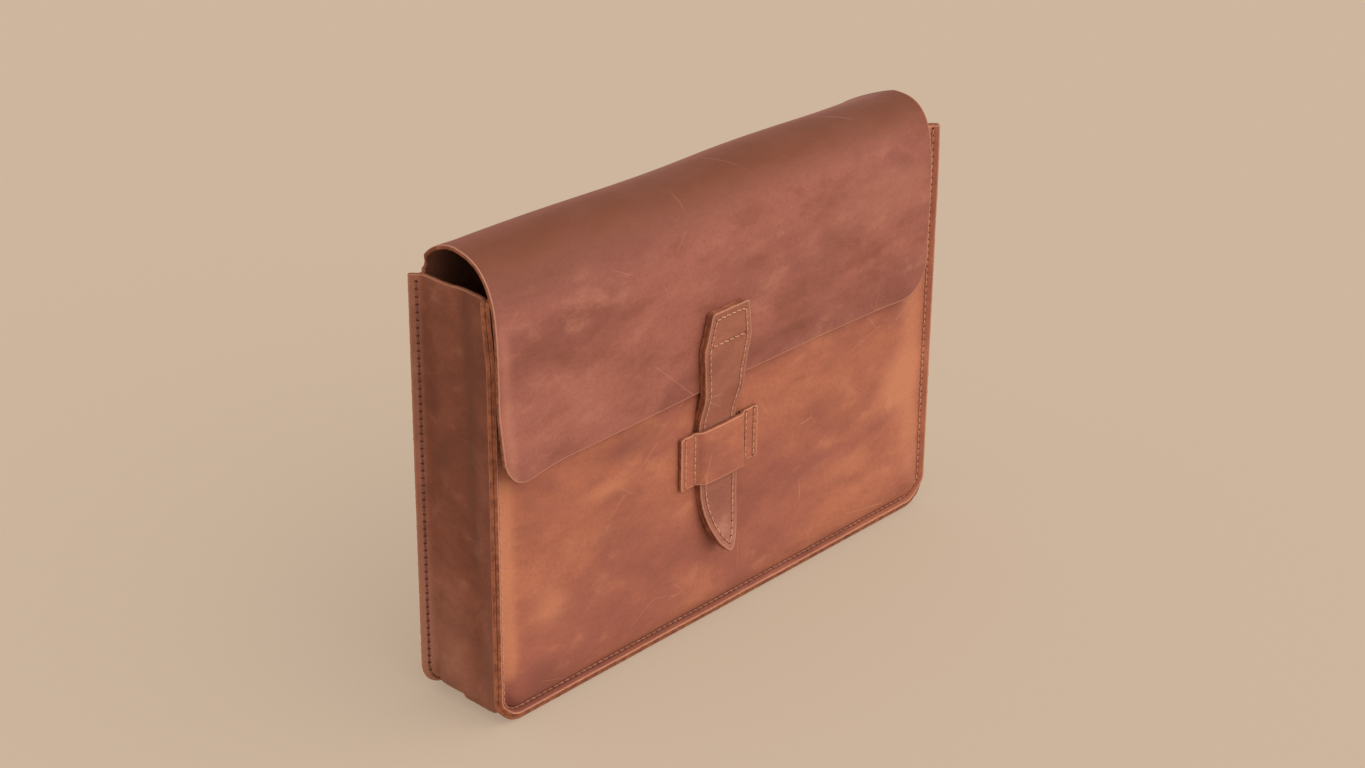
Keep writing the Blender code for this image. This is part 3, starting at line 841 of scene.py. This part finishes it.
def stitches(name, place, side, lift, runs, nodes, thread=thread_tan):
    """A row of stitches on a sheet: runs are (hole, next hole) in the sheet's own flat mm."""
    share = np.linspace(0, 1, 11)
    arc = np.sin(share * math.pi) ** 0.5
    sides = 8
    round_thread = np.linspace(0, 2 * math.pi, sides + 1)[:-1]
    points, faces, twist, sunk = [], [], [], []
    for start, end in runs:
        start, end = np.asarray(start, float), np.asarray(end, float)
        way = end - start
        sideways = np.array([-way[1], way[0]]) / np.linalg.norm(way)
        line = start + np.outer(share, way) + np.outer((0.5 - share) * STITCH_SLANT, sideways)
        heights = lift - STITCH_DIP + (STITCH_RISE + STITCH_DIP) * arc
        spine, out = surface(place, line[:, 0], line[:, 1], side, heights)
        run = np.gradient(spine, axis=0)
        run /= np.linalg.norm(run, axis=1, keepdims=True)
        over = np.cross(run, out)
        over /= np.linalg.norm(over, axis=1, keepdims=True)
        out = np.cross(over, run)
        first = len(points) * sides
        thick = THREAD_RADIUS * (0.7 + 0.3 * arc)
        for number in range(len(share)):
            ring = np.outer(np.cos(round_thread), over[number])
            ring = ring + np.outer(np.sin(round_thread), out[number])
            points.append(spine[number] + ring * thick[number])
            along = share[number] * np.linalg.norm(way)
            twist.append(along * 2 * math.pi / THREAD_TWIST + round_thread)
            sunk.append(np.full(sides, 1 - arc[number]))
        for number in range(len(share) - 1):
            for turn in range(sides):
                low = first + number * sides
                ahead = (turn + 1) % sides
                faces.append((low + turn, low + ahead, low + sides + ahead, low + sides + turn))
        faces.append(tuple(range(first + sides - 1, first - 1, -1)))
        faces.append(tuple(range(first + sides * (len(share) - 1), first + sides * len(share))))
    piece = make_piece(
        name, np.vstack(points), faces, (thread,),
        twist=np.concatenate(twist), sunk=np.concatenate(sunk),
    )
    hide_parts(*nodes)
    return piece


def in_pairs(holes):
    """Each hole with the next."""
    return list(zip(holes[:-1], holes[1:]))


front_line = in_pairs(seam_holes)
gusset_front = in_pairs([(place, STITCH_INSET) for place in seam_places])
gusset_back = in_pairs([(place, GUSSET_WIDTH - STITCH_INSET) for place in seam_places])
for name, place, side, line, thread in (
    ("front_seam_thread_face", front_panel_at, 1, front_line, thread_tan),
    ("front_seam_thread_reverse", gusset_at, -1, gusset_front, thread_darker),
    ("back_seam_thread_face", back_and_flap_at, -1, front_line, thread_tan),
    ("back_seam_thread_reverse", gusset_at, -1, gusset_back, thread_darker),
):
    row = stitches(name.replace("thread", "stitches"), place, side, LEATHER / 2, line, [name], thread)
    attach(row, "sleeve")

# ---------------------------------------------------------------------------------------
# The keeper is a band of the front's hide, sewn to it by two rows of stitches at each end.
# Between them it is bowed out over the tongue, more at its foot than at its top.
# ---------------------------------------------------------------------------------------

KEEPER_LEFT, KEEPER_RIGHT = -43.7, 17.8
KEEPER_TOP, KEEPER_FOOT = 120.5, 89.5
KEEPER_ROWS = (-40.2, -32.7, 8.1, 14.9)
KEEPER_STEP = (-32.0, -26.8, 2.2, 7.4)  # foot and head of the step at each side
KEEPER_GAP = 0.15
KEEPER_BOW = (2.2, 3.8)  # height of the step at the keeper's top and at its foot


def keeper_at(x, z):
    """Middle of the keeper's leather."""
    rise = smooth((x - KEEPER_STEP[0]) / (KEEPER_STEP[1] - KEEPER_STEP[0]))
    rise = rise * smooth((KEEPER_STEP[3] - x) / (KEEPER_STEP[3] - KEEPER_STEP[2]))
    down = smooth((KEEPER_TOP - z) / (KEEPER_TOP - KEEPER_FOOT))
    bow = KEEPER_BOW[0] + (KEEPER_BOW[1] - KEEPER_BOW[0]) * down
    bow = bow + 0.4 * swell(x, -13, 14)
    inset = np.minimum(x - KEEPER_LEFT, KEEPER_RIGHT - x)
    lift = 0.35 * (1 - smooth(inset / 3.5))
    lift = lift - 0.2 * swell(inset, 4.0, 1.2) - 0.2 * swell(inset, 11.2, 1.2)
    ends = [front_panel_at(np.full_like(x, end), z)[..., 1] for end in (KEEPER_LEFT, KEEPER_RIGHT)]
    flat = ends[0] + (ends[1] - ends[0]) * (x - KEEPER_LEFT) / (KEEPER_RIGHT - KEEPER_LEFT)
    depth = flat - LEATHER - KEEPER_GAP - lift - rise * bow
    return np.stack([x, depth, z], -1)


keeper_outline = rounded([
    (KEEPER_LEFT, KEEPER_FOOT, 1.2), (KEEPER_RIGHT, KEEPER_FOOT, 1.2),
    (KEEPER_RIGHT, KEEPER_TOP, 1.2), (KEEPER_LEFT, KEEPER_TOP, 1.2),
])
keeper_heights = np.linspace(KEEPER_FOOT + 1.2, KEEPER_TOP - 1.2, 8)
keeper_holes = [(x, z) for x in KEEPER_ROWS for z in keeper_heights]
keeper = leather_piece(
    "keeper_leather",
    cut_out(keeper_outline, keeper_holes, station=0.6, field=1.6),
    keeper_at, 1, (front_grain, nap, cut_edge), 14,
)
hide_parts("keeper_band")
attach(keeper, "sleeve")
keeper_nodes = ("left_outer", "left_inner", "right_inner", "right_outer")
for end, place, side in (("face", keeper_at, 1), ("reverse", front_panel_at, -1)):
    for x, row_name in zip(KEEPER_ROWS, keeper_nodes):
        line = in_pairs([(x, z) for z in keeper_heights])
        node = f"keeper_{row_name}_thread_{end}"
        row = stitches(node.replace("thread", "stitches"), place, side, LEATHER / 2, line, [node])
        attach(row, "sleeve")

# ---------------------------------------------------------------------------------------
# The tab is two layers of the hide, flesh to flesh. Its top is sewn to the flap, and its
# tongue hangs free over the flap's edge, passes behind the keeper and stands off at its tip.
# ---------------------------------------------------------------------------------------

TAB_CENTRE = -14.0
TAB_TOP, TAB_ROOT = 191.0, 168.5
TONGUE_TIP, TONGUE_FULL = 46.4, 89.5
TAB_TOP_WIDTH, TAB_SHOULDER, TAB_WAIST, TONGUE_WIDTH = 28.5, 37.0, 29.0, 29.5
IN_KEEPER = -29.8  # middle of the tab's backing where it lies behind the keeper's top
TONGUE_STANDOFF = 10.4  # of its tip from the keeper's foot
TAB_INSET, TAB_PITCH = 3.7, 4.0  # its stitches
CROSS_ROW, CROSS_REACH, CROSS_HOLES = 171.8, 12.6, 7


def down_flap(z):
    """How far along the leather this height on the flap's front is."""
    return LENGTH_TO_FULL + FULL_HEIGHT - z


def flap_front_at(z):
    """Depth of the flap's middle under the tab, at this height on its front."""
    length = down_flap(np.maximum(z, FLAP_EDGE))
    return back_and_flap_at(np.full_like(length, TAB_CENTRE), length)[..., 1]


def tab_at(x, z, ply):
    """Middle of a layer of the tab: ply 0 is the backing, 1 the face."""
    on_flap = flap_front_at(z) - LEATHER - 0.1
    below = smooth((FLAP_EDGE + 2 - z) / (FLAP_EDGE + 2 - KEEPER_TOP))
    depth = on_flap + (IN_KEEPER - on_flap) * below
    share = np.clip((KEEPER_FOOT - z) / (KEEPER_FOOT - TONGUE_TIP), 0, 1.1)
    depth = depth - TONGUE_STANDOFF * share**2
    depth = depth - 1.5 * smooth((KEEPER_TOP - z) / (KEEPER_TOP - KEEPER_FOOT))
    cupped = 0.5 * ((x - TAB_CENTRE) / 15) ** 2 * smooth((KEEPER_FOOT - z) / 20)
    return np.stack([x, depth - ply * LAYER + cupped, z], -1)


def tab_backing_at(x, z):
    return tab_at(x, z, 0)


def tab_face_at(x, z):
    return tab_at(x, z, 1)


def tab_half_width(z):
    """The tab's outline: tapered top, shoulders, waist and a leaf-shaped tongue."""
    leaf = np.clip((z - TONGUE_TIP) / (TONGUE_FULL - TONGUE_TIP), 0, 1)
    tongue = TONGUE_WIDTH / 2 * (1 - (1 - leaf) ** 2) ** 0.62
    waist = smooth((z - TONGUE_FULL) / (KEEPER_TOP - TONGUE_FULL))
    tongue = tongue + (TAB_WAIST - TONGUE_WIDTH) / 2 * waist
    flared = np.clip((z - KEEPER_TOP) / (TAB_ROOT - KEEPER_TOP), 0, 1) ** 2.2
    return tongue + (TAB_SHOULDER - TAB_WAIST) / 2 * flared


tab_leaf = TONGUE_TIP + (TONGUE_FULL - TONGUE_TIP) * np.linspace(0, 1, 40) ** 2
tab_side = np.concatenate([tab_leaf, np.linspace(TONGUE_FULL, TAB_ROOT - 2.5, 50)[1:]])
tab_right = [(TAB_CENTRE + wide, z, 0) for wide, z in zip(tab_half_width(tab_side), tab_side)]
tab_left = [(2 * TAB_CENTRE - x, z, 0) for x, z, _ in reversed(tab_right[1:])]
tab_outline = rounded(
    tab_right
    + [(TAB_CENTRE + TAB_SHOULDER / 2, TAB_ROOT + 1, 2.0), (TAB_CENTRE + TAB_TOP_WIDTH / 2, TAB_TOP, 2.5)]
    + [(TAB_CENTRE - TAB_TOP_WIDTH / 2, TAB_TOP, 2.5), (TAB_CENTRE - TAB_SHOULDER / 2, TAB_ROOT + 1, 2.0)]
    + tab_left
)


def tab_wear(x, z):
    """Paler on the free tongue, where it is bent and handled."""
    return 0.2 * smooth((KEEPER_FOOT + 6 - z) / 12)


tab_holes = spaced(stitch_line(tab_outline, TAB_INSET), TAB_PITCH)
cross_places = np.linspace(-1, 1, CROSS_HOLES) * CROSS_REACH + TAB_CENTRE
cross_holes = np.stack([cross_places, np.full(CROSS_HOLES, CROSS_ROW)], -1)
all_tab_holes = np.vstack([tab_holes, cross_holes])
tab_flat = cut_out(tab_outline, all_tab_holes, station=0.6, field=1.8)
tab_grain = waxed_grain("pull_up_leather_tab", "#7b4738", "#9b5f4d", "#a86a55", "#bb806a", "#c08c72")
tab_backing = leather_piece(
    "tab_backing_leather", tab_flat, tab_backing_at, 1, (nap, tab_grain, cut_edge), 15
)
tab_face = leather_piece(
    "tab_face_leather", tab_flat, tab_face_at, 1, (tab_grain, nap, cut_edge), 16, tab_wear
)
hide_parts("tab_backing_top", "tab_backing_tongue")
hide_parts("tab_face_top", "tab_face_tongue")
for layer in (tab_backing, tab_face):
    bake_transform(layer)

tab_pairs = list(zip(tab_holes, np.roll(tab_holes, -1, axis=0)))
tongue_pairs = [pair for pair in tab_pairs if max(pair[0][1], pair[1][1]) < TAB_ROOT]
top_pairs = [pair for pair in tab_pairs if max(pair[0][1], pair[1][1]) >= TAB_ROOT]


def on_flap(pairs):
    """The same stitches in the flap's own flat mm, for their ends inside the flap."""
    return [((a[0], down_flap(a[1])), (b[0], down_flap(b[1]))) for a, b in pairs]


tab_rows = [
    stitches("tab_stitches_face", tab_face_at, 1, LEATHER / 2, tab_pairs,
             ["tab_top_thread_face", "tongue_thread_face"]),
    stitches("tab_cross_stitches_face", tab_face_at, 1, LEATHER / 2, in_pairs(cross_holes),
             ["tab_cross_thread_face"]),
    stitches("tongue_stitches_reverse", tab_backing_at, -1, LEATHER / 2, tongue_pairs,
             ["tongue_thread_reverse"]),
]
for row in tab_rows:
    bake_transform(row)
for name, pairs, node in (
    ("tab_top_stitches_reverse", top_pairs, "tab_top_thread_reverse"),
    ("tab_cross_stitches_reverse", in_pairs(cross_holes), "tab_cross_thread_reverse"),
):
    row = stitches(name, back_and_flap_at, 1, LEATHER / 2, on_flap(pairs), [node])
    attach(row, "flap")

# ---------------------------------------------------------------------------------------
# The sleeve stands on a plain pale floor, partly lit from below to keep its shadows faint.
# It is lit by one large soft light from the front right and an even sky. The camera looks
# down on its left front corner.
# ---------------------------------------------------------------------------------------

floor_finish, tree, shader = new_finish("floor_paper")
place = add(tree, "TexCoord").outputs["Object"]
fibre = add(tree, "TexNoise", {"Vector": place, "Scale": 500.0, "Detail": 3.0})
colour = dyed(tree, paint("#877768"), "#89796a", fibre.outputs[0], 0.3, 0.7)
tree.links.new(colour, shader.inputs["Base Color"])
shader.inputs["Emission Color"].default_value = paint("#cdb79f")
shader.inputs["Emission Strength"].default_value = 0.55
shader.inputs["Roughness"].default_value = 0.95
shader.inputs["Specular IOR Level"].default_value = 0.0
FLOOR_REACH = 6.0  # in metres
FLOOR_GAP = 0.0002
floor_mesh = bpy.data.meshes.new("floor")
corners = [(x * FLOOR_REACH, y * FLOOR_REACH) for x, y in ((-1, -1), (1, -1), (1, 1), (-1, 1))]
floor_mesh.from_pydata([(x, y, cad_box[0][2] - FLOOR_GAP) for x, y in corners], [], [(0, 1, 2, 3)])
floor_mesh.materials.append(floor_finish)
floor = bpy.data.objects.new("floor", floor_mesh)
bpy.context.scene.collection.objects.link(floor)

scene = bpy.context.scene
scene.view_settings.view_transform = "Standard"
world = bpy.data.worlds.new("studio")
scene.world = world
world.use_nodes = True
sky = world.node_tree.nodes["Background"]
sky.inputs["Color"].default_value = paint("#fffdfb")
sky.inputs["Strength"].default_value = 0.70

LIGHT_TURN, LIGHT_HEIGHT = math.radians(20), math.radians(45)
softbox = bpy.data.lights.new("softbox", "SUN")
softbox.angle = math.radians(90)
softbox.energy = 2.0
softbox.color = paint("#fff9f2")[:3]
key = bpy.data.objects.new("softbox", softbox)
key_from = Vector((
    math.sin(LIGHT_TURN) * math.cos(LIGHT_HEIGHT),
    -math.cos(LIGHT_TURN) * math.cos(LIGHT_HEIGHT),
    math.sin(LIGHT_HEIGHT),
))
key.rotation_euler = key_from.to_track_quat("Z", "Y").to_euler()
key.location = key_from * 3  # for a sun only the direction counts
scene.collection.objects.link(key)

VIEW_AZIMUTH, VIEW_ELEVATION = math.radians(-47.72), math.radians(25.59)
VIEW_ROLL = math.radians(0.52)
VIEW_FROM = Vector((-1037.2, -937.9 + MID_DEPTH, 797.3)) * MM
back_way = Vector((
    math.sin(VIEW_AZIMUTH) * math.cos(VIEW_ELEVATION),
    -math.cos(VIEW_AZIMUTH) * math.cos(VIEW_ELEVATION),
    math.sin(VIEW_ELEVATION),
))
level = Vector((0, 0, 1)).cross(back_way).normalized()
upright = back_way.cross(level)
right_way = level * math.cos(VIEW_ROLL) + upright * math.sin(VIEW_ROLL)
up_way = upright * math.cos(VIEW_ROLL) - level * math.sin(VIEW_ROLL)
camera_data = bpy.data.cameras.new("camera")
camera_data.lens = 74.93
camera_data.sensor_width = 36.0
camera_data.clip_end = 20.0
camera = bpy.data.objects.new("camera", camera_data)
view_turn = Matrix((right_way, up_way, back_way)).transposed().to_4x4()
camera.matrix_world = Matrix.Translation(VIEW_FROM) @ view_turn
scene.collection.objects.link(camera)
scene.camera = camera
